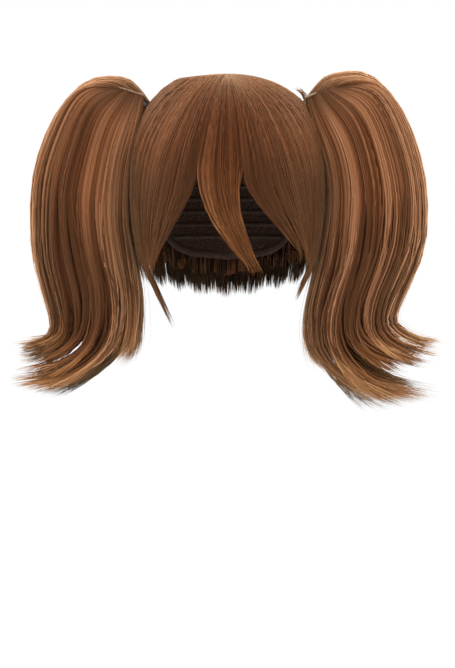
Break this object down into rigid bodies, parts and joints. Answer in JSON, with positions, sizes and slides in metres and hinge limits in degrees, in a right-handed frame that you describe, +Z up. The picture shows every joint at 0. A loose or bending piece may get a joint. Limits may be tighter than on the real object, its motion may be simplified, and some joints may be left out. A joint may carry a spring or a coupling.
{
  "type": "cosplay wig",
  "caption": "Costume wig: a short bob with a parted fringe, sewn in sections on a stretch cap, and full ponytails with flicked ends that hang on claw clips.",
  "frame": {"origin": "inside of the cap's crown, where the top of the head sits", "axes": "+Z up, -Y the way the face looks, +X the viewer's right"},
  "size_m": [0.387, 0.2147, 0.2984],
  "materials": {
    "hair": "satin synthetic fibre, brown",
    "net": "matt stretch net, dark brown",
    "skin": "matt skin-tone patch",
    "claw": "dark moulded plastic"
  },
  "bodies": {
    "root": {"wig_cap": "net", "skin_top": "skin", "fringe_centre": "hair", "fringe_left": "hair", "fringe_right": "hair", "side_left": "hair", "side_right": "hair", "back_hair": "hair", "claw_clip_left": "claw", "claw_clip_right": "claw", "ponytail_left": "hair", "ponytail_right": "hair"}
  },
  "joints": []
}
